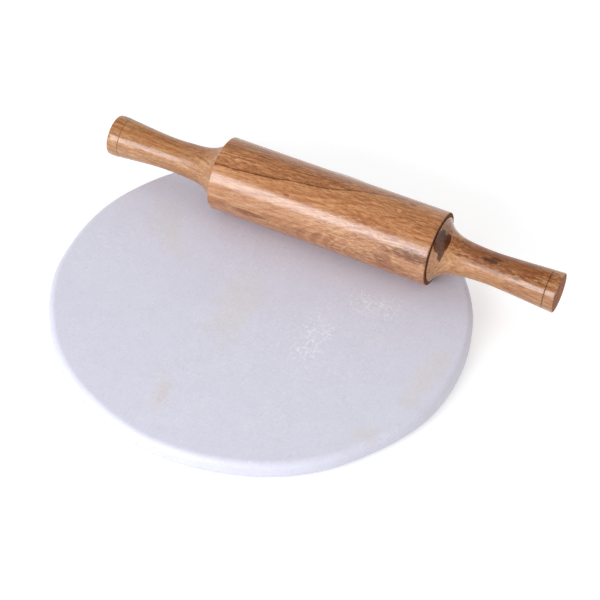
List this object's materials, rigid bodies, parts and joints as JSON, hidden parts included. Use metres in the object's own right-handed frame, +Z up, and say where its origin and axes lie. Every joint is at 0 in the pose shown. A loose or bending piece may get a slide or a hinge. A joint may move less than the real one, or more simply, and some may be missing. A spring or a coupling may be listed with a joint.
{
  "type": "rolling board and rolling pin set",
  "caption": "Round marble rolling board on a non-slip pad, with a turned wooden rolling pin whose barrel revolves between its handles.",
  "frame": {"origin": "the middle of the pad's underside, on the worktop, under the middle of the board", "axes": "+X along the rolling pin, +Y across it towards the back of the board where the pin lies, +Z up"},
  "size_m": [0.2996, 0.254, 0.0596],
  "materials": {
    "marble": "honed to a soft sheen",
    "pad_rubber": "matt",
    "barrel_wood": "clear gloss lacquer",
    "handle_wood": "clear gloss lacquer",
    "axle_steel": "drawn",
    "bush_nylon": "moulded"
  },
  "bodies": {
    "board": {"marble_board": "marble", "base_pad": "pad_rubber"},
    "handles": {"left_handle": "handle_wood", "right_handle": "handle_wood", "axle": "axle_steel", "left_washer": "axle_steel", "right_washer": "axle_steel"},
    "barrel": {"barrel": "barrel_wood", "left_bush": "bush_nylon", "right_bush": "bush_nylon"}
  },
  "joints": [
    {"name": "pin_travel", "type": "slide", "parent": "board", "child": "handles", "axis": [0, 1, 0], "range_m": [-0.15, 0.02]},
    {"name": "barrel_spin", "type": "hinge", "parent": "handles", "child": "barrel", "pos_m": [0.0128, 0.0657, 0.03645], "axis": [1, 0, 0], "range_deg": [-50, 372]}
  ],
  "couplings": [
    {"joint": "barrel_spin", "follows": "pin_travel", "rad_per_m": -43.197}
  ]
}
